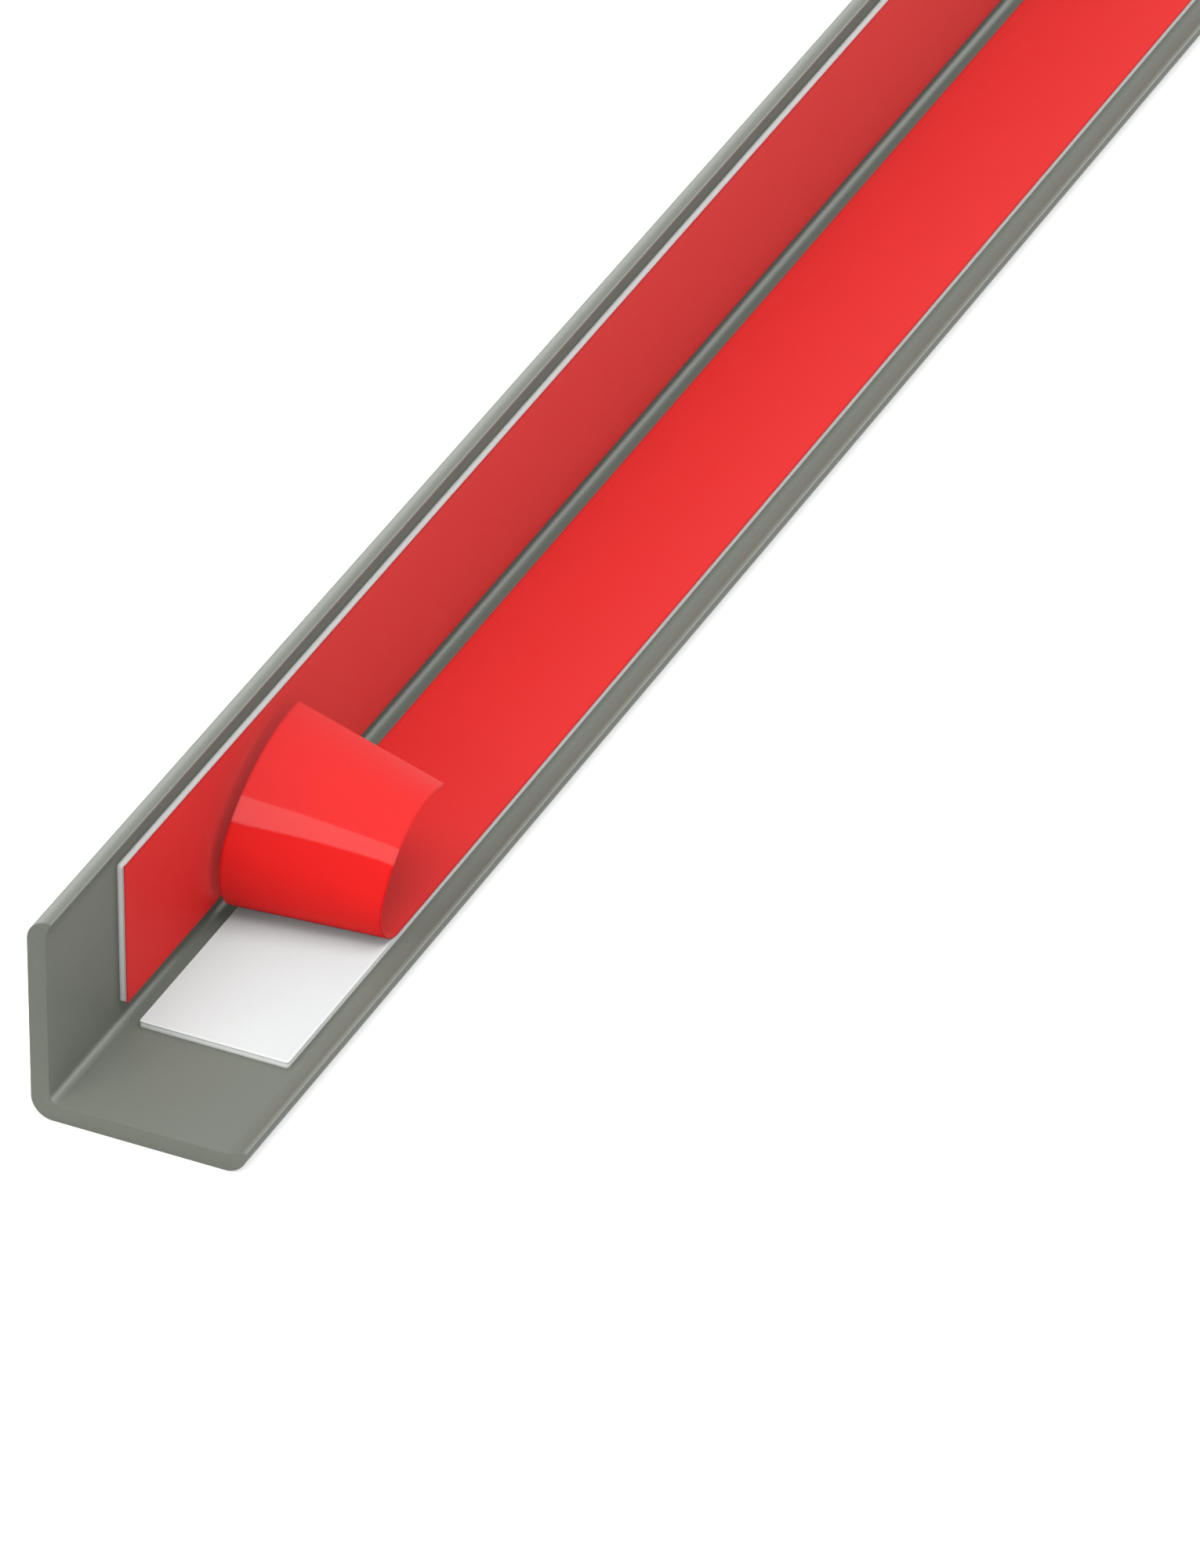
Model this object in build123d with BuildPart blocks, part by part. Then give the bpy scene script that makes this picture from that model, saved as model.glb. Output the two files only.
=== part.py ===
from build123d import *
import os

# Self-adhesive corner guard: an extruded PVC angle with hooked lips, a foam tape inside each leg,
# and a release liner on each tape. The liner of the lying leg is peeled back at the near end.
# It lies on its lying leg, its length runs along Y and its upright leg stands on the -X side.
# All sizes are millimetres. Distances along the stock are counted from its near end.

# Extruded profile
stock_length = 1000.0
leg_length = 25.0
wall = 2.2
heel_radius = 2.5
throat_radius = 1.0
lip_rise = 0.65
lip_hook_length = 2.7
lip_nose_land = 0.25
lip_nose_width = 0.3
lip_nose_radius = 0.15

# Foam tapes, laid between the throat and the lips
tape_thickness = 0.8
tape_throat_gap = 2.2
tape_lip_gap = 0.5
upright_tape_shift = 0.35
tape_near_margin = 16.0
tape_far_margin = 16.0

# Release liners
liner_thickness = 0.12

# Peeled end of the lying liner, on its edge next to the throat: where it leaves the tape,
# the tight bend, and the wide tail that lies back over the stock
throat_peel_start = 41.0
throat_bend_radius = 6.3
throat_bend_angle = 135.0
throat_tail_radius = 22.0
throat_tail_angle = 49.0

# The same on its edge next to the lip, where it is rolled tighter
lip_peel_start = 41.9
lip_bend_radius = 4.1
lip_bend_angle = 120.0
lip_tail_radius = 12.9
lip_tail_angle = 76.0

# Places that follow from the sizes
lip_height = wall + lip_rise
lip_back_radius = lip_height - lip_nose_land
tape_inner_edge = wall + tape_throat_gap
tape_width = leg_length - lip_hook_length - tape_lip_gap - tape_inner_edge
tape_length = stock_length - tape_near_margin - tape_far_margin
liner_level = wall + tape_thickness

# The near end: its sketches have X along the lying leg and Y up the upright leg,
# with the outer corner of the angle at their origin
near_end = Plane(origin=(-leg_length / 2, -stock_length / 2, 0), x_dir=(1, 0, 0), z_dir=(0, -1, 0))
tape_end = near_end.offset(-tape_near_margin)
leg_diagonal = Plane(origin=(0, 0, 0), z_dir=(1, -1, 0))

# Angle profile: one leg is drawn from the heel round the lip to the throat, then mirrored.
# The lip rounds over on the outside, ends in a narrow land and hooks inward, proud of the inner face.
with BuildPart() as corner_profile:
    with BuildSketch(near_end) as section:
        with BuildLine():
            outer_face = Line((0, 0), (leg_length - lip_back_radius, 0))
            lip_back = JernArc(outer_face @ 1, outer_face % 1, lip_back_radius, 90)
            lip_land = Line(lip_back @ 1, (leg_length, lip_height))
            lip_nose = Line(lip_land @ 1, (leg_length - lip_nose_width, lip_height))
            lip_hook = TangentArc(
                [(leg_length - lip_hook_length, wall), lip_nose @ 1], tangent=(1, 0)
            )
            Line(lip_hook @ 0, (wall, wall))
            mirror(about=leg_diagonal)
        make_face()
        fillet(section.vertices().sort_by_distance((0, 0))[0], heel_radius)
        fillet(section.vertices().sort_by_distance((wall, wall))[0], throat_radius)
        lying_nose = section.vertices().sort_by_distance((leg_length, lip_height))[0]
        upright_nose = section.vertices().sort_by_distance((lip_height, leg_length))[0]
        fillet([lying_nose, upright_nose], lip_nose_radius)
    extrude(amount=-stock_length)
corner_profile.part.label = "corner_profile"

# Foam tape on the lying leg, with its liner peeled off the first stretch
with BuildPart() as flat_tape:
    with BuildSketch(tape_end):
        with Locations((tape_inner_edge, wall)):
            Rectangle(tape_width, tape_thickness, align=(Align.MIN, Align.MIN))
    extrude(amount=-tape_length)
flat_tape.part.label = "flat_tape"

# Foam tape on the upright leg, laid a little nearer to the lip than the other one
with BuildPart() as upright_tape:
    with BuildSketch(tape_end):
        with Locations((wall, tape_inner_edge + upright_tape_shift)):
            Rectangle(tape_thickness, tape_width, align=(Align.MIN, Align.MIN))
    extrude(amount=-tape_length)
upright_tape.part.label = "upright_tape"

# Liner on the upright tape, still whole
with BuildPart() as upright_liner:
    with BuildSketch(tape_end):
        with Locations((liner_level, tape_inner_edge + upright_tape_shift)):
            Rectangle(liner_thickness, tape_width, align=(Align.MIN, Align.MIN))
    extrude(amount=-tape_length)
upright_liner.part.label = "upright_liner"

# Liner on the flat tape: each side edge is drawn from the far end to where it leaves the tape,
# round the tight bend and along the tail. Straight lines join the two edges, so that the film
# is flat where it still sticks and rolls up as a cone where it is peeled.
throat_edge = (
    tape_inner_edge,
    throat_peel_start,
    throat_bend_radius,
    throat_bend_angle,
    throat_tail_radius,
    throat_tail_angle,
)
lip_edge = (
    tape_inner_edge + tape_width,
    lip_peel_start,
    lip_bend_radius,
    lip_bend_angle,
    lip_tail_radius,
    lip_tail_angle,
)
with BuildPart() as flat_liner:
    for edge_x, peel_start, bend_radius, bend_angle, tail_radius, tail_angle in (throat_edge, lip_edge):
        film_side = Plane(
            origin=(edge_x - leg_length / 2, -stock_length / 2, liner_level), x_dir=(0, 1, 0), z_dir=(1, 0, 0)
        )
        film_end = stock_length - tape_far_margin
        with BuildSketch(film_side):
            with BuildLine():
                under = Line((film_end, 0), (peel_start, 0))
                under_bend = JernArc(under @ 1, under % 1, bend_radius, -bend_angle)
                under_tail = JernArc(under_bend @ 1, under_bend % 1, tail_radius, -tail_angle)
                over = Line((film_end, liner_thickness), (peel_start, liner_thickness))
                over_bend = JernArc(over @ 1, over % 1, bend_radius - liner_thickness, -bend_angle)
                over_tail = JernArc(
                    over_bend @ 1, over_bend % 1, tail_radius - liner_thickness, -tail_angle
                )
                Line(under_tail @ 1, over_tail @ 1)
                Line(over @ 0, under @ 0)
            make_face()
    loft(ruled=True)
flat_liner.part.label = "flat_liner"

os.makedirs("parts", exist_ok=True)
export_step(corner_profile.part, "parts/corner_profile.step")
export_step(flat_tape.part, "parts/flat_tape.step")
export_step(upright_tape.part, "parts/upright_tape.step")
export_step(upright_liner.part, "parts/upright_liner.step")
export_step(flat_liner.part, "parts/flat_liner.step")
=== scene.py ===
"""Looks of a self-adhesive PVC corner guard: extruded angle, foam tapes and release films.

Every piece is made in metres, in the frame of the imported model: +Y runs along the stock away from
its peeled end, +X across the lying leg to its lip, and +Z up the upright leg.
"""

from __future__ import annotations

import logging
import math
from dataclasses import dataclass, field
from enum import Enum
from functools import cache

import bmesh
import bpy
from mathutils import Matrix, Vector

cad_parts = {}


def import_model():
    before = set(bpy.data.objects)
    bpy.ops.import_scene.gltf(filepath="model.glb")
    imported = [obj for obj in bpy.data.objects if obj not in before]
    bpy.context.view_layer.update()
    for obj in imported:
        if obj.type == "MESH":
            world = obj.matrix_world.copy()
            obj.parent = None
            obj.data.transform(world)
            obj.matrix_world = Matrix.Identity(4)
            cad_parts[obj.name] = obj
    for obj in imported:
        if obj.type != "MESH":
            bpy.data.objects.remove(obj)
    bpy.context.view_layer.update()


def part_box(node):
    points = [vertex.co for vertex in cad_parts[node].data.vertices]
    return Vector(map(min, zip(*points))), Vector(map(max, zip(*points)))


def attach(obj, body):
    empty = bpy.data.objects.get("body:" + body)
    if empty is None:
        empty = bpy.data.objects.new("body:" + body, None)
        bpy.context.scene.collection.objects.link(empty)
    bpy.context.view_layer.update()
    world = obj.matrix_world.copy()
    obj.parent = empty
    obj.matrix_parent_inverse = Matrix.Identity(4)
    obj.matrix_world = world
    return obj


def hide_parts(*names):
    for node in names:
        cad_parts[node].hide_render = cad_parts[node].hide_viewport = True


Point = tuple[float, float]
Colour = tuple[float, float, float, float]
Socket = bpy.types.NodeSocket

LOG = logging.getLogger("corner_guard")
MM = 0.001
ROOT_BODY = "root"
SMOOTH_ANGLE = math.radians(35)
BEVEL_ANGLE = math.radians(60)
BEVEL_STEPS = 3
WHITE: Colour = (1.0, 1.0, 1.0, 1.0)
BLACK: Colour = (0.0, 0.0, 0.0, 1.0)

# Corners closer than these distances become one, in the node trees and in the finished pieces
NODE_WELD = 0.001 * MM
PIECE_WELD = 0.0005 * MM

# Steps of the section's quarter circles, and of the film's flat run, bend, tail and width
SECTION_STEPS = 16
FLAT_STEPS = 12
BEND_STEPS = 40
TAIL_STEPS = 28
ACROSS_STEPS = 10

# Drawn lines change along the stock at this share of their rate across it
STREAK_SHARE = 0.004

# Turn of the wave texture's diagonal bands, in radians for each unit of x + y + z
WAVE_TURN = 10.0


class Leg(Enum):
    """The leg of the angle that a strip lies on, which says how its own axes turn into the frame's."""

    LYING = "lying"
    UPRIGHT = "upright"

    def place(self, across: float, along: float, height: float) -> Vector:
        """Turns a strip's own coordinates into a point of the frame.

        Args:
            across: Distance across the leg, as the frame's X or Z.
            along: Distance along the stock, as the frame's Y.
            height: Distance above the leg's outer face, as the frame's Z or X.

        Returns:
            The point in the frame.
        """
        if self is Leg.LYING:
            return Vector((across, along, height))
        return Vector((height, along, across))


@dataclass(frozen=True)
class NodeBox:
    """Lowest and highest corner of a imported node."""

    low: Vector
    high: Vector

    @classmethod
    def of(cls, node: str) -> NodeBox:
        """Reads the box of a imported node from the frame."""
        low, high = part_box(node)
        return cls(Vector(low), Vector(high))


def srgb(red: int, green: int, blue: int) -> Colour:
    """Turns a colour given in 0 to 255 steps into the linear colour that a shader takes.

    Args:
        red: Red step.
        green: Green step.
        blue: Blue step.

    Returns:
        Linear red, green, blue and an alpha of 1.
    """
    steps = (red / 255, green / 255, blue / 255)
    linear = [s / 12.92 if s <= 0.04045 else ((s + 0.055) / 1.055) ** 2.4 for s in steps]
    return (linear[0], linear[1], linear[2], 1.0)


class Graph:
    """A node tree with short calls for adding, setting and joining its nodes."""

    def __init__(self, tree: bpy.types.NodeTree) -> None:
        """Starts on a tree, which it empties."""
        self.tree = tree
        self.tree.nodes.clear()

    def socket(
        self, name: str, kind: str, is_input: bool, default: object = None
    ) -> bpy.types.NodeTreeInterfaceSocket:
        """Adds a named socket to the tree's interface.

        Args:
            name: The socket's name.
            kind: Its type, such as NodeSocketFloat.
            is_input: Whether it is an input.
            default: Its default value, if it has one.

        Returns:
            The new interface socket.
        """
        side = "INPUT" if is_input else "OUTPUT"
        item = self.tree.interface.new_socket(name=name, in_out=side, socket_type=kind)
        if default is not None:
            item.default_value = default
        return item

    def add(self, kind: str, inputs: dict | None = None, **settings: object) -> bpy.types.Node:
        """Adds a node, sets its properties and fills or joins its inputs.

        Args:
            kind: The node's type.
            inputs: Values or output sockets by input name or index.
            **settings: Properties of the node.

        Returns:
            The new node.
        """
        node = self.tree.nodes.new(kind)
        for name, value in settings.items():
            setattr(node, name, value)
        for key, value in (inputs or {}).items():
            self.feed(node.inputs[key], value)
        return node

    def feed(self, target: Socket, value: object) -> None:
        """Joins an output to an input, or sets the input's value.

        Args:
            target: The input socket.
            value: An output socket or a plain value.
        """
        if isinstance(value, Socket):
            self.tree.links.new(value, target)
        else:
            target.default_value = value

    def maths(self, operation: str, *values: object, clamp: bool = False) -> Socket:
        """Adds a maths node on values or sockets, held between 0 and 1 if clamp is set."""
        inputs = dict(enumerate(values))
        return self.add("ShaderNodeMath", inputs, operation=operation, use_clamp=clamp).outputs[0]

    def ramp(self, value: Socket, start: object, width: object) -> Socket:
        """Rises from 0 to 1 while a value goes on from a start over a width."""
        return self.maths("DIVIDE", self.maths("SUBTRACT", value, start), width, clamp=True)

    def spread(self, share: Socket, low: float, span: float) -> Socket:
        """Turns a share of 0 to 1 into a value between low and low plus span."""
        return self.maths("ADD", low, self.maths("MULTIPLY", share, span))

    def swing(self, share: Socket, middle: float, span: float) -> Socket:
        """Turns a share of 0 to 1 into a value that swings by half the span to either side."""
        return self.spread(share, middle - span / 2, span)

    def noise(self, place: Socket, scale: object, detail: float) -> Socket:
        """Adds a noise texture and returns its height, 0 to 1."""
        inputs = {"Vector": place, "Scale": scale, "Detail": detail}
        return self.add("ShaderNodeTexNoise", inputs).outputs[0]

    def group(self, tree: bpy.types.NodeTree, **inputs: object) -> Socket:
        """Places a shader group on inputs by name and returns its only output."""
        return self.add("ShaderNodeGroup", inputs, node_tree=tree).outputs[0]

    def shaded(self, colour: Colour, shade: Socket) -> Socket:
        """Multiplies a colour by a shade."""
        inputs = {0: colour[:3], 1: shade}
        return self.add("ShaderNodeVectorMath", inputs, operation="MULTIPLY").outputs[0]

    def mixed(self, factor: Socket, first: object, second: object) -> Socket:
        """Mixes two colours, given as values or sockets."""
        inputs = {0: factor, 6: first, 7: second}
        return self.add("ShaderNodeMix", inputs, data_type="RGBA").outputs[2]

    def bumped(self, shader: bpy.types.Node, relief: Socket, strength: float, height: float) -> None:
        """Bumps a shader's normal by a relief that stands up to a height."""
        inputs = {"Strength": strength, "Distance": height, "Height": relief}
        self.feed(shader.inputs["Normal"], self.add("ShaderNodeBump", inputs).outputs[0])


@dataclass
class CornerProfile:
    """The extruded angle: two equal legs with a rounded heel and lips that hook inward."""

    node: str = "corner_profile"
    slot: str = "pvc"
    heel_radius: float = 2.5 * MM
    throat_radius: float = 1.0 * MM
    lip_rise: float = 0.65 * MM
    lip_hook_length: float = 2.7 * MM
    lip_nose_land: float = 0.25 * MM
    lip_nose_width: float = 0.3 * MM
    lip_nose_radius: float = 0.15 * MM
    cut_edge_bevel: float = 0.09 * MM
    box: NodeBox = field(init=False)
    wall: float = field(init=False)

    def __post_init__(self) -> None:
        """Takes the legs' length and the wall from the frame."""
        self.box = NodeBox.of(self.node)
        self.wall = NodeBox.of("flat_tape").low.z - self.box.low.z

    @staticmethod
    def arc(centre: Point, radius: float, start: float, end: float) -> list[Point]:
        """Points along an arc of the section, both ends included.

        Args:
            centre: The arc's centre.
            radius: Its radius.
            start: Angle of its first point, in degrees.
            end: Angle of its last point, in degrees.

        Returns:
            The points.
        """
        steps = max(3, round(SECTION_STEPS * abs(end - start) / 90))
        angles = [math.radians(start + (end - start) * i / steps) for i in range(steps + 1)]
        return [(centre[0] + radius * math.cos(a), centre[1] + radius * math.sin(a)) for a in angles]

    @property
    def lip_height(self) -> float:
        """Height of the lips over the outer faces."""
        return self.wall + self.lip_rise

    def half_section(self) -> list[Point]:
        """Outline of one leg, from the heel's middle round the lip to the throat's middle.

        Returns:
            The points, with the outer corner of the angle at (0, 0).
        """
        length = self.box.high.x - self.box.low.x
        lip = self.lip_height
        back = lip - self.lip_nose_land
        nose = self.lip_nose_radius
        run = self.lip_hook_length - self.lip_nose_width
        hook = (run**2 + self.lip_rise**2) / (2 * self.lip_rise)
        hook_turn = math.degrees(math.atan2(run, hook - self.lip_rise))
        throat = self.wall + self.throat_radius
        outline = self.arc((self.heel_radius, self.heel_radius), self.heel_radius, 225, 270)
        outline += self.arc((length - back, back), back, 270, 360)
        outline += self.arc((length - nose, lip - nose), nose, 0, 90)
        hook_start = (length - self.lip_hook_length, self.wall + hook)
        outline += self.arc(hook_start, hook, 270 + hook_turn, 270)
        outline += self.arc((throat, throat), self.throat_radius, 270, 225)
        return outline

    def section(self) -> bpy.types.Mesh:
        """The whole outline as a closed loop of edges in its own X and Y.

        Returns:
            The mesh of edges.
        """
        half = self.half_section()
        loop = half + [(y, x) for x, y in reversed(half)][1:-1]
        points = [(self.box.low.x + x, y, 0.0) for x, y in loop]
        edges = [(i, (i + 1) % len(points)) for i in range(len(points))]
        mesh = bpy.data.meshes.new("angle_section")
        mesh.from_pydata(points, edges, [])
        return mesh

    def build(self, material: bpy.types.Material) -> bpy.types.Object:
        """Extrudes the section along the stock and dresses it.

        Args:
            material: The PVC finish.

        Returns:
            The finished piece.
        """
        sizes = {
            "Length": self.box.high.y - self.box.low.y,
            "Near End": self.box.low.y,
            "Finish": material,
        }
        piece = bpy.data.objects.new("extruded_angle", self.section())
        bake_nodes(piece, extrusion_tree(), sizes)
        soften_edges(piece, self.cut_edge_bevel)
        return finish_piece(piece, self.node)


def extrusion_tree() -> bpy.types.NodeTree:
    """Geometry nodes that fill a closed outline and extrude it into a length of stock.

    Returns:
        The tree, with Length, Near End and Finish as inputs.
    """
    graph = Graph(bpy.data.node_groups.new("extruded_stock", "GeometryNodeTree"))
    graph.socket("Outline", "NodeSocketGeometry", True)
    graph.socket("Length", "NodeSocketFloat", True, 1.0)
    graph.socket("Near End", "NodeSocketFloat", True, 0.0)
    graph.socket("Finish", "NodeSocketMaterial", True)
    graph.socket("Stock", "NodeSocketGeometry", False)
    source = graph.add("NodeGroupInput").outputs
    loop = graph.add("GeometryNodeMeshToCurve", {"Mesh": source["Outline"]})
    near_cap = graph.add("GeometryNodeFillCurve", {"Curve": loop.outputs["Curve"]}, mode="NGONS")
    turned = graph.add("GeometryNodeFlipFaces", {"Mesh": near_cap.outputs["Mesh"]})
    backwards = graph.maths("MULTIPLY", source["Length"], -1.0)
    offset = graph.add("ShaderNodeCombineXYZ", {"Z": backwards})
    shell = graph.add(
        "GeometryNodeExtrudeMesh",
        {
            "Mesh": turned.outputs["Mesh"],
            "Offset": offset.outputs[0],
            "Offset Scale": 1.0,
            "Individual": False,
        },
        mode="FACES",
    )
    joined = graph.add("GeometryNodeJoinGeometry")
    graph.feed(joined.inputs[0], near_cap.outputs["Mesh"])
    graph.feed(joined.inputs[0], shell.outputs["Mesh"])
    closed = graph.add(
        "GeometryNodeMergeByDistance", {"Geometry": joined.outputs[0], "Distance": NODE_WELD}
    )
    place = graph.add("ShaderNodeCombineXYZ", {"Y": source["Near End"]})
    laid = graph.add(
        "GeometryNodeTransform",
        {
            "Geometry": closed.outputs[0],
            "Translation": place.outputs[0],
            "Rotation": (math.radians(90), 0, 0),
        },
    )
    end_tree(graph, laid.outputs[0], source["Finish"], "Stock")
    return graph.tree


def end_tree(graph: Graph, geometry: Socket, material: Socket, output: str) -> None:
    """Ends a geometry tree in real geometry that carries its material.

    Args:
        graph: The tree's graph.
        geometry: What the tree has made.
        material: The material input.
        output: Name of the tree's output.
    """
    real = graph.add("GeometryNodeRealizeInstances", {0: geometry})
    dressed = graph.add(
        "GeometryNodeSetMaterial", {"Geometry": real.outputs[0], "Material": material}
    )
    graph.add("NodeGroupOutput", {output: dressed.outputs[0]})


def bake_nodes(
    piece: bpy.types.Object, tree: bpy.types.NodeTree, sizes: dict[str, object]
) -> None:
    """Runs a geometry tree on a piece and leaves the result as its plain mesh.

    Args:
        piece: The object to run the tree on.
        tree: The geometry tree.
        sizes: Values for the tree's named inputs.
    """
    bpy.context.scene.collection.objects.link(piece)
    modifier = piece.modifiers.new(tree.name, "NODES")
    modifier.node_group = tree
    sockets = [item for item in tree.interface.items_tree if item.item_type == "SOCKET"]
    identifiers = {item.name: item.identifier for item in sockets}
    for name, value in sizes.items():
        modifier[identifiers[name]] = value
    bake_modifiers(piece)
    # A mesh that came without a material keeps an empty first slot
    if piece.data.materials[0] is None:
        piece.data.materials.pop(index=0)


def bake_modifiers(piece: bpy.types.Object) -> None:
    """Turns the evaluated piece into a plain mesh and drops its modifiers.

    Args:
        piece: The object with its modifiers.
    """
    piece.update_tag()
    bpy.context.view_layer.update()
    graph = bpy.context.evaluated_depsgraph_get()
    mesh = bpy.data.meshes.new_from_object(piece.evaluated_get(graph), depsgraph=graph)
    piece.modifiers.clear()
    piece.data = mesh
    mesh.name = piece.name


def soften_edges(piece: bpy.types.Object, width: float) -> None:
    """Rounds the sharp edges of a piece by a hair, as a saw leaves them.

    Args:
        piece: The piece to soften.
        width: Width of the rounding.
    """
    bevel = piece.modifiers.new("cut_edges", "BEVEL")
    bevel.limit_method = "ANGLE"
    bevel.angle_limit = BEVEL_ANGLE
    bevel.width = width
    bevel.segments = BEVEL_STEPS
    bevel.use_clamp_overlap = True
    bake_modifiers(piece)


def finish_piece(piece: bpy.types.Object, node: str) -> bpy.types.Object:
    """Closes a piece's mesh, turns its faces outwards and hands it to the frame.

    Args:
        piece: The piece.
        node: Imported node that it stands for.

    Returns:
        The same piece.
    """
    work = bmesh.new()
    work.from_mesh(piece.data)
    bmesh.ops.remove_doubles(work, verts=work.verts, dist=PIECE_WELD)
    bmesh.ops.recalc_face_normals(work, faces=work.faces)
    work.to_mesh(piece.data)
    work.free()
    piece.data.shade_smooth()
    piece.data.set_sharp_from_angle(angle=SMOOTH_ANGLE)
    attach(piece, ROOT_BODY)
    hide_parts(node)
    return piece


@dataclass
class FoamTape:
    """A strip of double-sided foam tape: adhesive skins above and below a foam core cut by a knife.

    The knife pinches the core under the top skin, so that the cut side shows two bands.
    """

    name: str
    node: str
    leg: Leg
    slot: str = "foam_tape"
    corner_radius: float = 0.35 * MM
    corner_steps: int = 5
    rim: float = 0.05 * MM
    skin: float = 0.12 * MM
    pinch: float = 0.11 * MM
    foot_pinch: float = 0.05 * MM

    def levels(self, thickness: float) -> list[Point]:
        """Height and inset of each ring of the strip's side, from its underside to its top.

        Args:
            thickness: The tape's thickness.

        Returns:
            Pairs of height above the tape's underside and inset from the strip's edge.
        """
        return [
            # The foot, drawn in a little, and the belly of the core
            (0.0, self.foot_pinch),
            (self.skin * 0.8, self.foot_pinch * 0.4),
            (thickness * 0.3, 0.0),
            (thickness * 0.45, self.foot_pinch * 0.3),
            # The pinch under the top skin
            (thickness - self.skin * 2.2, self.pinch * 0.8),
            (thickness - self.skin * 1.3, self.pinch),
            # The edge of the top skin, rounded over to the adhesive face
            (thickness - self.skin, self.rim * 0.4),
            (thickness - self.rim, 0.0),
            (thickness - self.rim * 0.3, self.rim * 0.3),
            (thickness, self.rim),
        ]

    def ring(self, low: Point, high: Point, inset: float) -> list[Point]:
        """A rectangle with rounded corners, as points across and along the strip.

        Args:
            low: Low corner of the strip.
            high: High corner of the strip.
            inset: How far the ring stays inside the strip's edge.

        Returns:
            The points, anticlockwise.
        """
        radius = self.corner_radius
        corners = (
            (high[0] - radius, high[1] - radius, 0),
            (low[0] + radius, high[1] - radius, 90),
            (low[0] + radius, low[1] + radius, 180),
            (high[0] - radius, low[1] + radius, 270),
        )
        points = []
        for across, along, start in corners:
            for step in range(self.corner_steps + 1):
                angle = math.radians(start + 90 * step / self.corner_steps)
                reach = radius - inset
                points.append((across + reach * math.cos(angle), along + reach * math.sin(angle)))
        return points

    def build(self, material: bpy.types.Material) -> bpy.types.Object:
        """Stacks the rings into a closed strip and dresses it.

        Args:
            material: The foam finish.

        Returns:
            The finished piece.
        """
        box = NodeBox.of(self.node)
        if self.leg is Leg.LYING:
            across, height = (box.low.x, box.high.x), (box.low.z, box.high.z)
        else:
            across, height = (box.low.z, box.high.z), (box.low.x, box.high.x)
        low, high = (across[0], box.low.y), (across[1], box.high.y)
        work = bmesh.new()
        rings = []
        for level, inset in self.levels(height[1] - height[0]):
            outline = self.ring(low, high, inset)
            points = [self.leg.place(a, y, height[0] + level) for a, y in outline]
            rings.append([work.verts.new(point) for point in points])
        for lower, upper in zip(rings, rings[1:]):
            for i in range(len(lower)):
                j = (i + 1) % len(lower)
                work.faces.new((lower[i], lower[j], upper[j], upper[i]))
        work.faces.new(list(reversed(rings[0])))
        work.faces.new(rings[-1])
        mesh = bpy.data.meshes.new(self.name)
        work.to_mesh(mesh)
        work.free()
        piece = bpy.data.objects.new(self.name, mesh)
        bpy.context.scene.collection.objects.link(piece)
        piece.data.materials.append(material)
        return finish_piece(piece, self.node)


@dataclass(frozen=True)
class PeeledEdge:
    """One side edge of the peeled film: where it leaves the tape, its tight bend and its tail."""

    peel_start: float
    bend_radius: float
    bend_angle: float
    tail_radius: float
    tail_angle: float

    def inputs(self, edge: str) -> dict[str, float]:
        """The edge's sizes under the names that the film's tree gives them.

        Args:
            edge: Name of the edge, as the tree's inputs start with it.

        Returns:
            Input values by name.
        """
        return {
            f"{edge} Peel Start": self.peel_start,
            f"{edge} Bend Radius": self.bend_radius,
            f"{edge} Bend Angle": math.radians(self.bend_angle),
            f"{edge} Tail Radius": self.tail_radius,
            f"{edge} Tail Angle": math.radians(self.tail_angle),
        }


@dataclass
class ReleaseFilm:
    """A release film on a foam tape, flat where it sticks and rolled into a cone once peeled."""

    name: str
    node: str
    tape_node: str
    leg: Leg
    slot: str = "release_film"
    throat_edge: PeeledEdge | None = None
    lip_edge: PeeledEdge | None = None

    def build(self, material: bpy.types.Material) -> bpy.types.Object:
        """Makes the film and dresses it.

        Args:
            material: The film finish.

        Returns:
            The finished piece.
        """
        tape = NodeBox.of(self.tape_node)
        stock = NodeBox.of("corner_profile")
        film = NodeBox.of(self.node)
        if self.leg is Leg.LYING:
            across, level = (film.low.x, film.high.x), tape.high.z
        else:
            across, level = (film.low.z, film.high.z), tape.high.x
        near = film.low.y if self.throat_edge is None else stock.low.y
        sizes = {
            "Throat Side": across[0],
            "Lip Side": across[1],
            "Level": level,
            "Near End": near,
            "Far End": film.high.y - near,
            "Finish": material,
        }
        if self.throat_edge is not None and self.lip_edge is not None:
            sizes |= self.throat_edge.inputs("Throat")
            sizes |= self.lip_edge.inputs("Lip")
        piece = bpy.data.objects.new(self.name, bpy.data.meshes.new(self.name))
        bake_nodes(piece, film_tree(), sizes)
        if self.leg is Leg.UPRIGHT:
            for vertex in piece.data.vertices:
                vertex.co = self.leg.place(*vertex.co)
        # The box of a rolled film doesn't show its gauge, so both films take it from the whole one
        whole = NodeBox.of("upright_liner")
        self.thicken(piece, whole.high.x - whole.low.x)
        return finish_piece(piece, self.node)

    def thicken(self, piece: bpy.types.Object, thickness: float) -> None:
        """Gives the sheet the film's thickness, away from the foam.

        Args:
            piece: The sheet, whose mesh is the film's sticky side.
            thickness: The film's thickness.
        """
        wall = piece.modifiers.new("film", "SOLIDIFY")
        wall.thickness = thickness
        wall.offset = -1.0 if self.leg is Leg.LYING else 1.0
        wall.use_even_offset = True
        bake_modifiers(piece)


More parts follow.
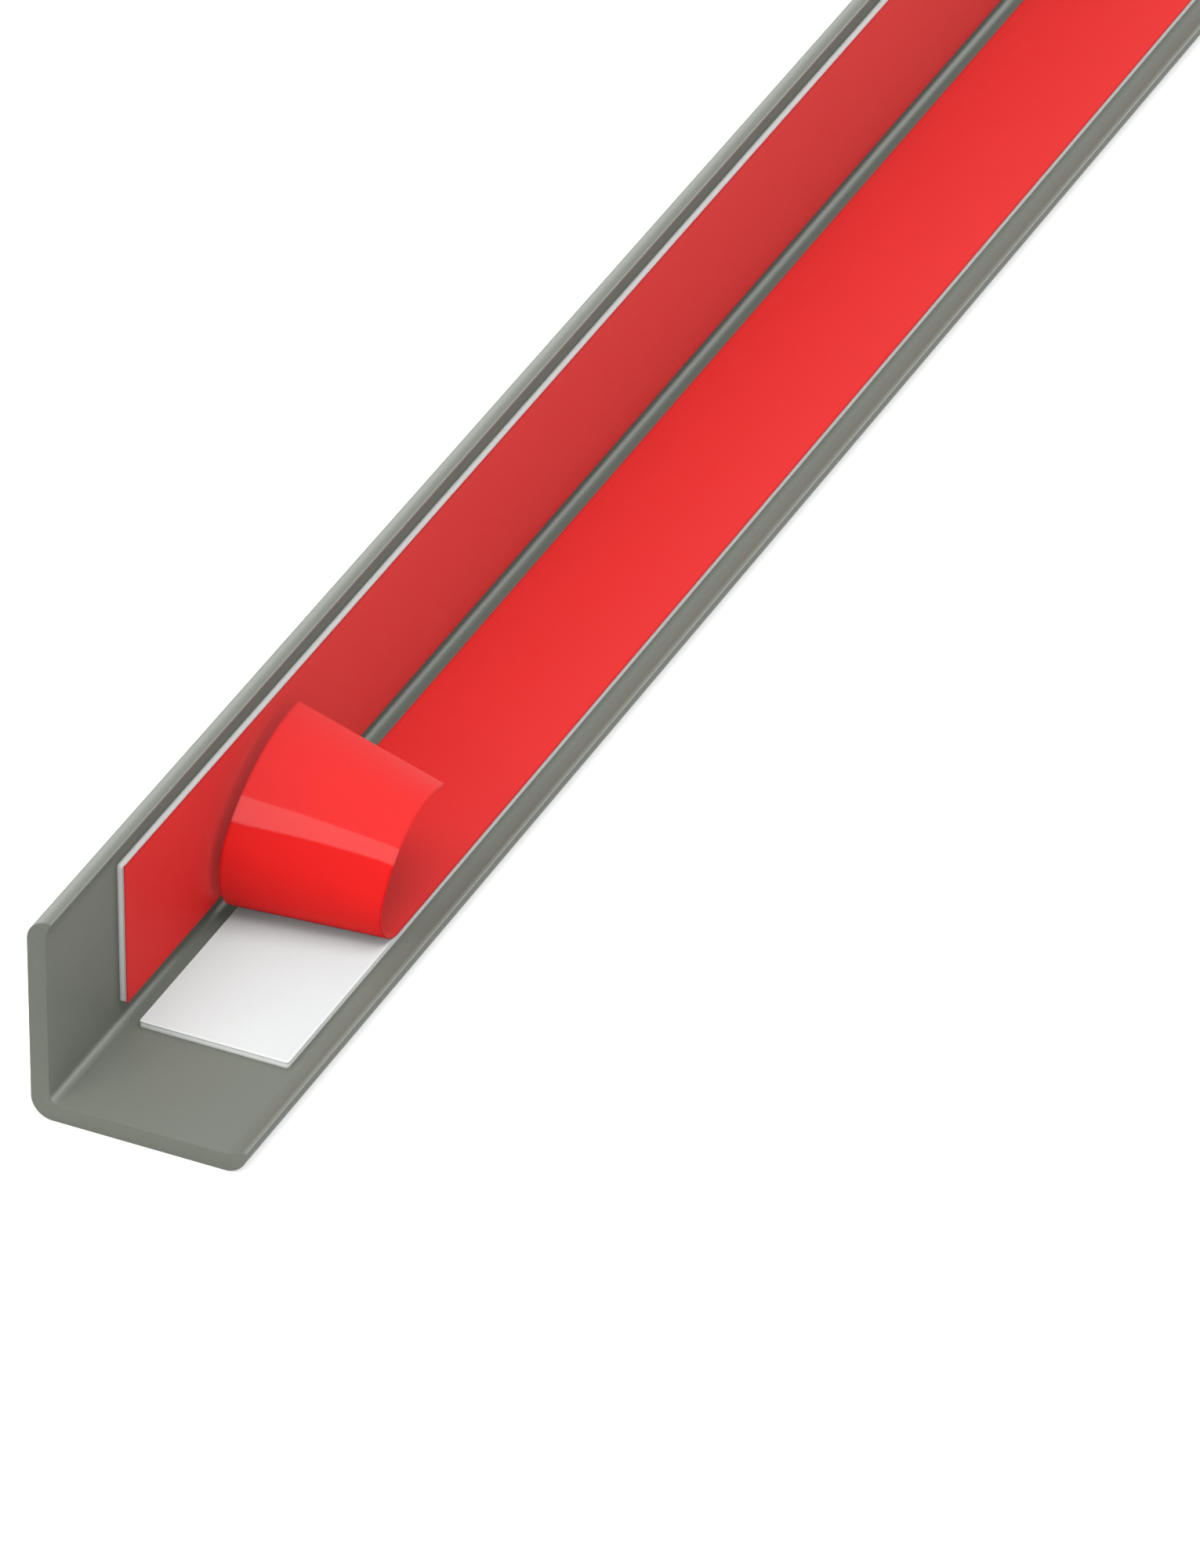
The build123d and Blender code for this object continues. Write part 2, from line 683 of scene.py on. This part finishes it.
@cache
def film_tree() -> bpy.types.NodeTree:
    """Geometry nodes that lay a film along a tape and roll its peeled end into a cone.

    Each side edge is a flat run, a bend and a tail, all worked out from its own inputs. A point of
    the film lies on the straight line between the same places of the two edges.

    Returns:
        The tree, with the film's sizes and Finish as inputs.
    """
    graph = Graph(bpy.data.node_groups.new("peeled_film", "GeometryNodeTree"))
    graph.socket("Seed Mesh", "NodeSocketGeometry", True)
    for name in ("Throat Side", "Lip Side", "Level", "Near End", "Far End"):
        graph.socket(name, "NodeSocketFloat", True, 0.0)
    for edge in ("Throat", "Lip"):
        for size in ("Peel Start", "Bend Radius", "Bend Angle", "Tail Radius", "Tail Angle"):
            graph.socket(f"{edge} {size}", "NodeSocketFloat", True, 0.0)
    graph.socket("Finish", "NodeSocketMaterial", True)
    graph.socket("Film", "NodeSocketGeometry", False)
    source = graph.add("NodeGroupInput").outputs
    total = FLAT_STEPS + BEND_STEPS + TAIL_STEPS
    sheet = graph.add(
        "GeometryNodeMeshGrid",
        {"Size X": 1.0, "Size Y": 1.0, "Vertices X": ACROSS_STEPS + 1, "Vertices Y": total + 1},
    )
    corner = graph.add("GeometryNodeInputPosition").outputs[0]
    place = graph.add("ShaderNodeSeparateXYZ", {0: corner}).outputs
    across = graph.maths("ADD", place["X"], 0.5)
    count = graph.maths("MULTIPLY", graph.maths("ADD", place["Y"], 0.5), float(total))
    shares = []
    passed = 0
    for steps in (FLAT_STEPS, BEND_STEPS, TAIL_STEPS):
        shares.append(graph.ramp(count, float(passed), float(steps)))
        passed += steps
    throat = (source["Throat Side"], *edge_point(graph, source, "Throat", shares))
    lip = (source["Lip Side"], *edge_point(graph, source, "Lip", shares))
    point = [
        graph.add("ShaderNodeMix", {"Factor": across, "A": a, "B": b}).outputs[0]
        for a, b in zip(throat, lip)
    ]
    position = graph.add("ShaderNodeCombineXYZ", dict(zip("XYZ", point)))
    laid = graph.add(
        "GeometryNodeSetPosition", {"Geometry": sheet.outputs[0], "Position": position.outputs[0]}
    )
    end_tree(graph, laid.outputs[0], source["Finish"], "Film")
    return graph.tree


def edge_point(
    graph: Graph, source: bpy.types.NodeOutputs, edge: str, shares: list[Socket]
) -> tuple[Socket, Socket]:
    """Works out a point of one side edge of the film.

    Args:
        graph: The film's graph.
        source: The tree's inputs.
        edge: Name that the edge's inputs start with.
        shares: How much of the flat run, the bend and the tail lies before the point, each 0 to 1.

    Returns:
        The point's place along the stock and its height.
    """
    peel_start = source[f"{edge} Peel Start"]
    bend_radius = source[f"{edge} Bend Radius"]
    bend_angle = source[f"{edge} Bend Angle"]
    tail_radius = source[f"{edge} Tail Radius"]
    tail_angle = source[f"{edge} Tail Angle"]
    bend = graph.maths("MULTIPLY", bend_angle, shares[1])
    tail = graph.maths("ADD", bend_angle, graph.maths("MULTIPLY", tail_angle, shares[2]))
    flat_run = graph.maths("SUBTRACT", peel_start, source["Far End"])
    far_to_start = graph.maths("MULTIPLY", flat_run, shares[0])
    far_end = graph.maths("ADD", source["Near End"], source["Far End"])
    flat = graph.maths("ADD", far_end, far_to_start)
    back = graph.maths("MULTIPLY", bend_radius, graph.maths("SINE", bend))
    tail_sine = graph.maths("SUBTRACT", graph.maths("SINE", tail), graph.maths("SINE", bend_angle))
    tail_back = graph.maths("MULTIPLY", tail_radius, tail_sine)
    along = graph.maths("SUBTRACT", graph.maths("SUBTRACT", flat, back), tail_back)
    bend_cosine = graph.maths("SUBTRACT", 1.0, graph.maths("COSINE", bend))
    rise = graph.maths("MULTIPLY", bend_radius, bend_cosine)
    bend_end_cosine = graph.maths("COSINE", bend_angle)
    tail_cosine = graph.maths("SUBTRACT", bend_end_cosine, graph.maths("COSINE", tail))
    tail_rise = graph.maths("MULTIPLY", tail_radius, tail_cosine)
    height = graph.maths("ADD", source["Level"], graph.maths("ADD", rise, tail_rise))
    return along, height


@cache
def mottle_group() -> bpy.types.NodeTree:
    """Shader group of a soft cloudy variation, used by every finish.

    Returns:
        The group, with Vector, Size and Amount as inputs and Shade as output.
    """
    graph = Graph(bpy.data.node_groups.new("soft_mottle", "ShaderNodeTree"))
    graph.socket("Vector", "NodeSocketVector", True)
    graph.socket("Size", "NodeSocketFloat", True, 10 * MM)
    graph.socket("Amount", "NodeSocketFloat", True, 0.05)
    graph.socket("Shade", "NodeSocketFloat", False)
    source = graph.add("NodeGroupInput").outputs
    scale = graph.maths("DIVIDE", 1.0, source["Size"])
    cloud = graph.noise(source["Vector"], scale, 4.0)
    swing = graph.maths("MULTIPLY", graph.maths("SUBTRACT", cloud, 0.5), 2.0)
    shade = graph.maths("ADD", 1.0, graph.maths("MULTIPLY", swing, source["Amount"]))
    graph.add("NodeGroupOutput", {"Shade": shade})
    return graph.tree


@cache
def streak_group() -> bpy.types.NodeTree:
    """Shader group of fine lines that run along the stock, as a die or a slitting knife leaves them.

    Returns:
        The group, with Vector and Pitch as inputs and Line as output.
    """
    graph = Graph(bpy.data.node_groups.new("drawn_streaks", "ShaderNodeTree"))
    graph.socket("Vector", "NodeSocketVector", True)
    graph.socket("Pitch", "NodeSocketFloat", True, 0.4 * MM)
    graph.socket("Line", "NodeSocketFloat", False)
    source = graph.add("NodeGroupInput").outputs
    place = graph.add("ShaderNodeSeparateXYZ", {0: source["Vector"]}).outputs
    along = graph.maths("MULTIPLY", place["Y"], STREAK_SHARE)
    stretched = graph.add("ShaderNodeCombineXYZ", {"X": place["X"], "Y": along, "Z": place["Z"]})
    scale = graph.maths("DIVIDE", 1.0, source["Pitch"])
    lines = graph.noise(stretched.outputs[0], scale, 3.0)
    graph.add("NodeGroupOutput", {"Line": lines})
    return graph.tree


@cache
def rim_group() -> bpy.types.NodeTree:
    """Shader group that marks the cut rim of a strip between two places on one axis.

    Returns:
        The group, with Place, Low, High and Width as inputs and Rim as output.
    """
    graph = Graph(bpy.data.node_groups.new("cut_rim", "ShaderNodeTree"))
    for name in ("Place", "Low", "High", "Width"):
        graph.socket(name, "NodeSocketFloat", True, 0.0)
    graph.socket("Rim", "NodeSocketFloat", False)
    source = graph.add("NodeGroupInput").outputs
    from_low = graph.maths("SUBTRACT", source["Place"], source["Low"])
    from_high = graph.maths("SUBTRACT", source["High"], source["Place"])
    nearest = graph.maths("MINIMUM", from_low, from_high)
    inside = graph.ramp(nearest, 0.0, source["Width"])
    graph.add("NodeGroupOutput", {"Rim": graph.maths("SUBTRACT", 1.0, inside)})
    return graph.tree


class Finish:
    """Shared start of the three finishes: a Principled shader and Object coordinates."""

    @staticmethod
    def start(name: str) -> tuple[bpy.types.Material, Graph, bpy.types.Node, Socket]:
        """Makes a material with its Principled shader and output.

        Args:
            name: The material's name.

        Returns:
            The material, its graph, the Principled node and the Object coordinates.
        """
        material = bpy.data.materials.new(name)
        material.use_nodes = True
        graph = Graph(material.node_tree)
        shader = graph.add("ShaderNodeBsdfPrincipled")
        graph.add("ShaderNodeOutputMaterial", {"Surface": shader.outputs[0]})
        place = graph.add("ShaderNodeTexCoord").outputs["Object"]
        return material, graph, shader, place


@dataclass(frozen=True)
class PvcFinish(Finish):
    """Grey-green extruded PVC with a satin skin, die lines, lip noses lightened as a painted
    highlight, and sawn ends.
    """

    colour: Colour = srgb(122, 126, 117)
    sawn_colour: Colour = srgb(119, 123, 113)
    roughness: float = 0.38
    ior: float = 1.43
    die_pitch: float = 0.5 * MM
    mottle_size: float = 14 * MM
    mottle_amount: float = 0.03
    line_swing: float = 0.07
    roughness_swing: float = 0.1
    nose_band: float = 0.13 * MM
    nose_blend: float = 0.06 * MM
    nose_highlight_gain: float = 0.22
    sawn_depth: float = 0.12 * MM
    sawn_roughness: float = 0.22
    saw_pitch: float = 0.978 * MM
    saw_swing: float = 0.03
    saw_relief: float = 0.5
    line_relief: float = 0.7
    grain_size: float = 0.25 * MM
    bump_strength: float = 0.35
    bump_height: float = 0.012 * MM

    def material(self, profile: CornerProfile) -> bpy.types.Material:
        """Builds the material.

        Args:
            profile: The extruded angle, for the places of its lips and its sawn ends.

        Returns:
            The material.
        """
        stock = profile.box
        material, graph, shader, place = self.start("extruded_pvc")
        lines = graph.group(streak_group(), Vector=place, Pitch=self.die_pitch)
        cloud = graph.group(
            mottle_group(), Vector=place, Size=self.mottle_size, Amount=self.mottle_amount
        )
        line_shade = graph.swing(lines, 1.0, self.line_swing)
        axes = graph.add("ShaderNodeSeparateXYZ", {0: place}).outputs
        from_side = graph.maths("SUBTRACT", axes["X"], stock.low.x)
        from_below = graph.maths("SUBTRACT", axes["Z"], stock.low.z)
        # Only the noses of the lips stand this far above the nearer outer face; the skin is lightened
        # there as a painted highlight
        depth = graph.maths("MINIMUM", from_side, from_below)
        nose = graph.ramp(depth, profile.lip_height - self.nose_band, self.nose_blend)
        nose_highlight = graph.spread(nose, 1.0, self.nose_highlight_gain)
        skin_shade = graph.maths("MULTIPLY", graph.maths("MULTIPLY", cloud, line_shade), nose_highlight)
        skin = graph.shaded(self.colour, skin_shade)
        sawn = graph.group(
            rim_group(), Place=axes["Y"], Low=stock.low.y, High=stock.high.y, Width=self.sawn_depth
        )
        saw_scale = 2 * math.pi / (WAVE_TURN * math.sqrt(2) * self.saw_pitch)
        waves = {"Vector": place, "Scale": saw_scale, "Distortion": 3.0, "Detail Scale": 1.5}
        saw = graph.add("ShaderNodeTexWave", waves, bands_direction="DIAGONAL").outputs[1]
        saw_shade = graph.swing(saw, 1.0, self.saw_swing)
        ends = graph.shaded(self.sawn_colour, saw_shade)
        graph.feed(shader.inputs["Base Color"], graph.mixed(sawn, skin, ends))
        rough = graph.swing(lines, self.roughness, self.roughness_swing)
        sawn_rough = graph.maths("MULTIPLY", sawn, self.sawn_roughness)
        graph.feed(shader.inputs["Roughness"], graph.maths("ADD", rough, sawn_rough))
        shader.inputs["IOR"].default_value = self.ior
        grain = graph.noise(place, 1 / self.grain_size, 2.0)
        drawn = graph.maths("MULTIPLY", lines, self.line_relief)
        grainy = graph.maths("MULTIPLY", grain, 1.0 - self.line_relief)
        marks = graph.maths("MULTIPLY", graph.maths("MULTIPLY", saw, sawn), self.saw_relief)
        relief = graph.maths("ADD", graph.maths("ADD", drawn, grainy), marks)
        graph.bumped(shader, relief, self.bump_strength, self.bump_height)
        return material


@dataclass(frozen=True)
class FoamFinish(Finish):
    """White foam tape: a smooth adhesive face with a painted highlight along its rims, and cut sides
    that show the foam's cells.

    Other pieces mirror the tape in a darker colour, so that the glossy film beside it stays red.
    """

    face_colour: Colour = srgb(236, 238, 238)
    rim_highlight_colour: Colour = srgb(254, 255, 255)
    side_colour: Colour = srgb(254, 255, 255)
    carrier_colour: Colour = srgb(228, 234, 232)
    mirrored_colour: Colour = srgb(120, 100, 98)
    face_roughness: float = 0.34
    carrier_depth: float = 0.26 * MM
    rim_highlight_width: float = 0.34 * MM
    scatter: float = 0.15 * MM
    side_roughness: float = 0.8
    face_depth: float = 0.03 * MM
    face_blend: float = 0.02 * MM
    carrier_blend: float = 0.03 * MM
    cloud_size: float = 5 * MM
    speck_size: float = 0.6 * MM
    cloud_amount: float = 0.02
    cell_size: float = 0.11 * MM
    cell_shade: float = 0.96
    cell_swing: float = 0.05
    dimple_size: float = 0.9 * MM
    dimple_relief: float = 0.5
    bump_strength: float = 0.4
    bump_height: float = 0.03 * MM

    def material(self, name: str, leg: Leg, tape: NodeBox) -> bpy.types.Material:
        """Builds the material of one tape.

        Args:
            name: The material's name.
            leg: The leg that the tape lies on.
            tape: The tape's box, for the places of its adhesive face and its rims.

        Returns:
            The material.
        """
        material, graph, shader, place = self.start(name)
        axes = graph.add("ShaderNodeSeparateXYZ", {0: place}).outputs
        if leg is Leg.LYING:
            height, top = axes["Z"], tape.high.z
            across, low, high = axes["X"], tape.low.x, tape.high.x
        else:
            height, top = axes["X"], tape.high.x
            across, low, high = axes["Z"], tape.low.z, tape.high.z
        face = graph.ramp(height, top - self.face_depth, self.face_blend)
        carrier = graph.ramp(height, top - self.carrier_depth, self.carrier_blend)
        foamed = {"Vector": place, "Scale": 1 / self.cell_size}
        cells = graph.add("ShaderNodeTexVoronoi", foamed).outputs[0]
        core = graph.shaded(self.side_colour, graph.spread(cells, self.cell_shade, self.cell_swing))
        side = graph.mixed(carrier, core, self.carrier_colour)
        clouds, specks = (
            graph.group(mottle_group(), Vector=place, Size=size, Amount=self.cloud_amount)
            for size in (self.cloud_size, self.speck_size)
        )
        skin = graph.shaded(self.face_colour, graph.maths("MULTIPLY", clouds, specks))
        sides, ends = (
            graph.group(rim_group(), Place=axis, Low=start, High=end, Width=self.rim_highlight_width)
            for axis, start, end in ((across, low, high), (axes["Y"], tape.low.y, tape.high.y))
        )
        # Painted highlight: the adhesive face turns near white along its rims, as if its edges caught
        # the light
        skin = graph.mixed(graph.maths("MAXIMUM", sides, ends), skin, self.rim_highlight_colour)
        seen = graph.mixed(face, side, skin)
        in_gloss = graph.add("ShaderNodeLightPath").outputs["Is Glossy Ray"]
        graph.feed(shader.inputs["Base Color"], graph.mixed(in_gloss, seen, self.mirrored_colour))
        smoother = graph.maths("MULTIPLY", face, self.side_roughness - self.face_roughness)
        rough = graph.maths("SUBTRACT", self.side_roughness, smoother)
        graph.feed(shader.inputs["Roughness"], rough)
        shader.inputs["Subsurface Weight"].default_value = 1.0
        shader.inputs["Subsurface Radius"].default_value = (1.0, 1.0, 1.0)
        shader.inputs["Subsurface Scale"].default_value = self.scatter
        dimples = graph.noise(place, 1 / self.dimple_size, 3.0)
        open_cells = graph.maths("MULTIPLY", cells, graph.maths("SUBTRACT", 1.0, face))
        relief = graph.maths("ADD", open_cells, graph.maths("MULTIPLY", dimples, self.dimple_relief))
        graph.bumped(shader, relief, self.bump_strength, self.bump_height)
        return material


@dataclass(frozen=True)
class FilmFinish(Finish):
    """Red release film: glossy, faintly rippled, with painted edge shade, a deeper red along its slit
    edges.

    Light that bounces off the film is nearly neutral, and light mirrored by other pieces half so.
    The foam and the PVC beside it then take no red cast, as in the photograph.
    """

    colour: Colour = srgb(240, 39, 38)
    edge_shade_colour: Colour = srgb(228, 8, 16)
    bounce_colour: Colour = srgb(172, 152, 150)
    stuck_roughness: float = 0.4
    free_roughness: float = 0.07
    ior: float = 1.34
    edge_shade_width: float = 0.28 * MM
    mirrored_bounce: float = 0.5
    lift_start: float = 0.25 * MM
    lift_blend: float = 0.8 * MM
    roughness_swing: float = 0.02
    mottle_size: float = 9 * MM
    mottle_amount: float = 0.03
    line_pitch: float = 1.4 * MM
    line_relief: float = 0.15
    ripple_size: float = 6 * MM
    bump_strength: float = 0.25
    bump_height: float = 0.05 * MM

    def material(self, name: str, leg: Leg, film: NodeBox) -> bpy.types.Material:
        """Builds the material of one film.

        Args:
            name: The material's name.
            leg: The leg that the film lies on.
            film: The film's box, for the places of its slit edges and its stuck part.

        Returns:
            The material.
        """
        material, graph, shader, place = self.start(name)
        axes = graph.add("ShaderNodeSeparateXYZ", {0: place}).outputs
        if leg is Leg.LYING:
            across, low, high = axes["X"], film.low.x, film.high.x
            lifted = graph.ramp(axes["Z"], film.low.z + self.lift_start, self.lift_blend)
        else:
            across, low, high = axes["Z"], film.low.z, film.high.z
            lifted = 0.0
        # Painted edge shade: a deeper red band along both slit edges
        edge = graph.group(rim_group(), Place=across, Low=low, High=high, Width=self.edge_shade_width)
        cloud = graph.group(
            mottle_group(), Vector=place, Size=self.mottle_size, Amount=self.mottle_amount
        )
        seen = graph.mixed(edge, graph.shaded(self.colour, cloud), self.edge_shade_colour)
        path = graph.add("ShaderNodeLightPath").outputs
        in_gloss = graph.maths("MULTIPLY", path["Is Glossy Ray"], self.mirrored_bounce)
        bounced = graph.maths("MAXIMUM", path["Is Diffuse Ray"], in_gloss)
        graph.feed(shader.inputs["Base Color"], graph.mixed(bounced, seen, self.bounce_colour))
        lines = graph.group(streak_group(), Vector=place, Pitch=self.line_pitch)
        streaked = graph.swing(lines, self.stuck_roughness, self.roughness_swing)
        smoother = graph.maths("MULTIPLY", lifted, self.stuck_roughness - self.free_roughness)
        graph.feed(shader.inputs["Roughness"], graph.maths("SUBTRACT", streaked, smoother))
        shader.inputs["IOR"].default_value = self.ior
        ripple = graph.noise(place, 1 / self.ripple_size, 1.0)
        relief = graph.maths("ADD", ripple, graph.maths("MULTIPLY", lines, self.line_relief))
        graph.bumped(shader, relief, self.bump_strength, self.bump_height)
        return material


@dataclass(frozen=True)
class Lamp:
    """A soft rectangular lamp."""

    name: str
    offset: tuple[float, float, float]
    size: tuple[float, float]
    power: float
    diffuse: bool = True
    glossy: bool = True

    def build(self, target: Vector) -> None:
        """Adds the lamp, aimed at the target.

        Args:
            target: The point that it lights.
        """
        data = bpy.data.lights.new(self.name, "AREA")
        data.shape = "RECTANGLE"
        data.size, data.size_y = self.size
        data.energy = self.power
        lamp = bpy.data.objects.new(self.name, data)
        lamp.location = target + Vector(self.offset)
        lamp.rotation_euler = (target - lamp.location).to_track_quat("-Z", "Y").to_euler()
        lamp.visible_camera = False
        lamp.visible_diffuse = self.diffuse
        lamp.visible_glossy = self.glossy
        bpy.context.scene.collection.objects.link(lamp)


@dataclass(frozen=True)
class Studio:
    """White floor, soft lamps, a black flag for depth and the camera at the photograph's angle."""

    azimuth: float = 25.65
    elevation: float = 34.73
    distance: float = 1.556
    aim_along: float = 63.5 * MM
    aim_aside: float = 22.4 * MM
    aim_height: float = 12.5 * MM
    lens: float = 338.7
    sensor: float = 36.0
    nearest: float = 0.1
    farthest: float = 100.0
    floor_reach: float = 40.0
    floor_drop: float = 0.02 * MM
    floor_colour: Colour = (0.8, 0.8, 0.8, 1.0)
    floor_glow: float = 0.56
    mirrored_glow: float = 0.05
    ambient: float = 0.48
    lamps: tuple[Lamp, ...] = (
        Lamp("overhead_lamp", (0.6, 0.0, 2.3), (1.8, 1.8), 24.0, glossy=False),
        Lamp("front_fill", (-0.7, -1.8, 0.9), (1.6, 1.0), 15.5, glossy=False),
        Lamp("back_card", (-1.75, 1.05, 0.62), (1.5, 1.2), 13.0),
        Lamp("band_card", (0.13, -0.83, 1.81), (1.6, 0.55), 6.0),
        Lamp("throat_card", (1.14, 1.48, 0.72), (2.2, 1.3), 39.0, diffuse=False),
    )
    flag_width: float = 2.4
    flag_gap: float = 6 * MM
    flag_lift: float = 1 * MM
    flag_reach: float = 1.25
    flag_rise: float = 2.1

    def build(self, stock: NodeBox) -> None:
        """Makes the whole studio round the object.

        Args:
            stock: The extruded angle's box.
        """
        aim = Vector((self.aim_aside, stock.low.y + self.aim_along, self.aim_height))
        self.camera(aim)
        self.floor()
        self.world()
        self.flag(stock)
        for lamp in self.lamps:
            lamp.build(aim)
        bpy.context.scene.view_settings.view_transform = "Standard"

    def camera(self, aim: Vector) -> None:
        """Places the camera.

        Args:
            aim: The point at the middle of the picture.
        """
        data = bpy.data.cameras.new("camera")
        data.lens = self.lens
        data.sensor_width = self.sensor
        data.clip_start, data.clip_end = self.nearest, self.farthest
        camera = bpy.data.objects.new("camera", data)
        turn, tilt = math.radians(self.azimuth), math.radians(self.elevation)
        level = math.cos(tilt)
        back = Vector((math.sin(turn) * level, -math.cos(turn) * level, math.sin(tilt)))
        camera.location = aim + back * self.distance
        camera.rotation_euler = (-back).to_track_quat("-Z", "Y").to_euler()
        bpy.context.scene.collection.objects.link(camera)
        bpy.context.scene.camera = camera

    @staticmethod
    def panel(
        name: str, finish: str, corners: list[tuple[float, float, float]]
    ) -> tuple[bpy.types.Object, Graph]:
        """Makes a flat panel of the studio with a material that is still empty.

        Args:
            name: The panel's name.
            finish: Its material's name.
            corners: Its four corners, in order.

        Returns:
            The panel and its material's graph.
        """
        mesh = bpy.data.meshes.new(name)
        mesh.from_pydata(corners, [], [(0, 1, 2, 3)])
        panel = bpy.data.objects.new(name, mesh)
        bpy.context.scene.collection.objects.link(panel)
        material = bpy.data.materials.new(finish)
        material.use_nodes = True
        mesh.materials.append(material)
        return panel, Graph(material.node_tree)

    def floor(self) -> None:
        """Lays a wide floor just under the object, white to the camera and shaded by the object."""
        reach, level = self.floor_reach, -self.floor_drop
        corners = [(-reach, -reach), (reach, -reach), (reach, reach), (-reach, reach)]
        floor, graph = self.panel("studio_floor", "white_floor", [(x, y, level) for x, y in corners])
        matt = graph.add("ShaderNodeBsdfDiffuse", {"Color": self.floor_colour})
        path = graph.add("ShaderNodeLightPath").outputs
        direct = graph.maths("MULTIPLY", path["Is Camera Ray"], self.floor_glow)
        mirrored = graph.maths("MAXIMUM", path["Is Glossy Ray"], path["Is Transmission Ray"])
        in_gloss = graph.maths("MULTIPLY", mirrored, self.mirrored_glow)
        strength = graph.maths("ADD", direct, in_gloss)
        glow = graph.add("ShaderNodeEmission", {"Color": WHITE, "Strength": strength})
        both = graph.add("ShaderNodeAddShader", {0: matt.outputs[0], 1: glow.outputs[0]})
        graph.add("ShaderNodeOutputMaterial", {"Surface": both.outputs[0]})

    def flag(self, stock: NodeBox) -> None:
        """Hangs a black cloth in front that only reflections see, so that the film keeps its depth.

        Args:
            stock: The extruded angle's box, for the place of its near end.
        """
        near, half = stock.low.y - self.flag_gap, self.flag_width / 2
        far, low, high = near - self.flag_reach, self.flag_lift, self.flag_rise
        corners = [(-half, near, low), (half, near, low), (half, far, high), (-half, far, high)]
        flag, graph = self.panel("black_flag", "black_cloth", corners)
        cloth = graph.add("ShaderNodeBsdfDiffuse", {"Color": BLACK})
        graph.add("ShaderNodeOutputMaterial", {"Surface": cloth.outputs[0]})
        flag.visible_camera = False
        flag.visible_diffuse = False
        flag.visible_shadow = False
        flag.visible_transmission = False

    def world(self) -> None:
        """Makes an even sky that is white to the camera and in reflections."""
        world = bpy.data.worlds.new("studio")
        world.use_nodes = True
        graph = Graph(world.node_tree)
        path = graph.add("ShaderNodeLightPath").outputs
        seen = graph.maths("MAXIMUM", path["Is Camera Ray"], path["Is Transmission Ray"])
        seen = graph.maths("MAXIMUM", seen, path["Is Glossy Ray"])
        strength = graph.add("ShaderNodeMix", {"Factor": seen, "A": self.ambient, "B": 1.0}).outputs[0]
        sky = graph.add("ShaderNodeBackground", {"Color": WHITE, "Strength": strength})
        graph.add("ShaderNodeOutputWorld", {"Surface": sky.outputs[0]})
        bpy.context.scene.world = world


def main() -> None:
    """Loads the frame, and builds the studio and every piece."""
    logging.basicConfig(level=logging.INFO, format="%(name)s: %(message)s")
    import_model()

    profile = CornerProfile()
    Studio().build(profile.box)
    pieces = [profile.build(PvcFinish().material(profile))]

    foam = FoamFinish()
    tapes = (
        FoamTape("lying_foam_tape", "flat_tape", Leg.LYING),
        FoamTape("upright_foam_tape", "upright_tape", Leg.UPRIGHT),
    )
    for tape in tapes:
        pieces.append(tape.build(foam.material(tape.name, tape.leg, NodeBox.of(tape.node))))

    film = FilmFinish()
    throat_edge = PeeledEdge(
        peel_start=41.0 * MM,
        bend_radius=6.3 * MM,
        bend_angle=135.0,
        tail_radius=22.0 * MM,
        tail_angle=49.0,
    )
    lip_edge = PeeledEdge(
        peel_start=41.9 * MM,
        bend_radius=4.1 * MM,
        bend_angle=120.0,
        tail_radius=12.9 * MM,
        tail_angle=76.0,
    )
    films = (
        ReleaseFilm(
            "peeled_release_film",
            "flat_liner",
            "flat_tape",
            Leg.LYING,
            throat_edge=throat_edge,
            lip_edge=lip_edge,
        ),
        ReleaseFilm("whole_release_film", "upright_liner", "upright_tape", Leg.UPRIGHT),
    )
    for sheet in films:
        pieces.append(sheet.build(film.material(sheet.name, sheet.leg, NodeBox.of(sheet.node))))

    for piece in pieces:
        LOG.info("%s: %d faces", piece.name, len(piece.data.polygons))


if __name__ == "__main__":
    main()
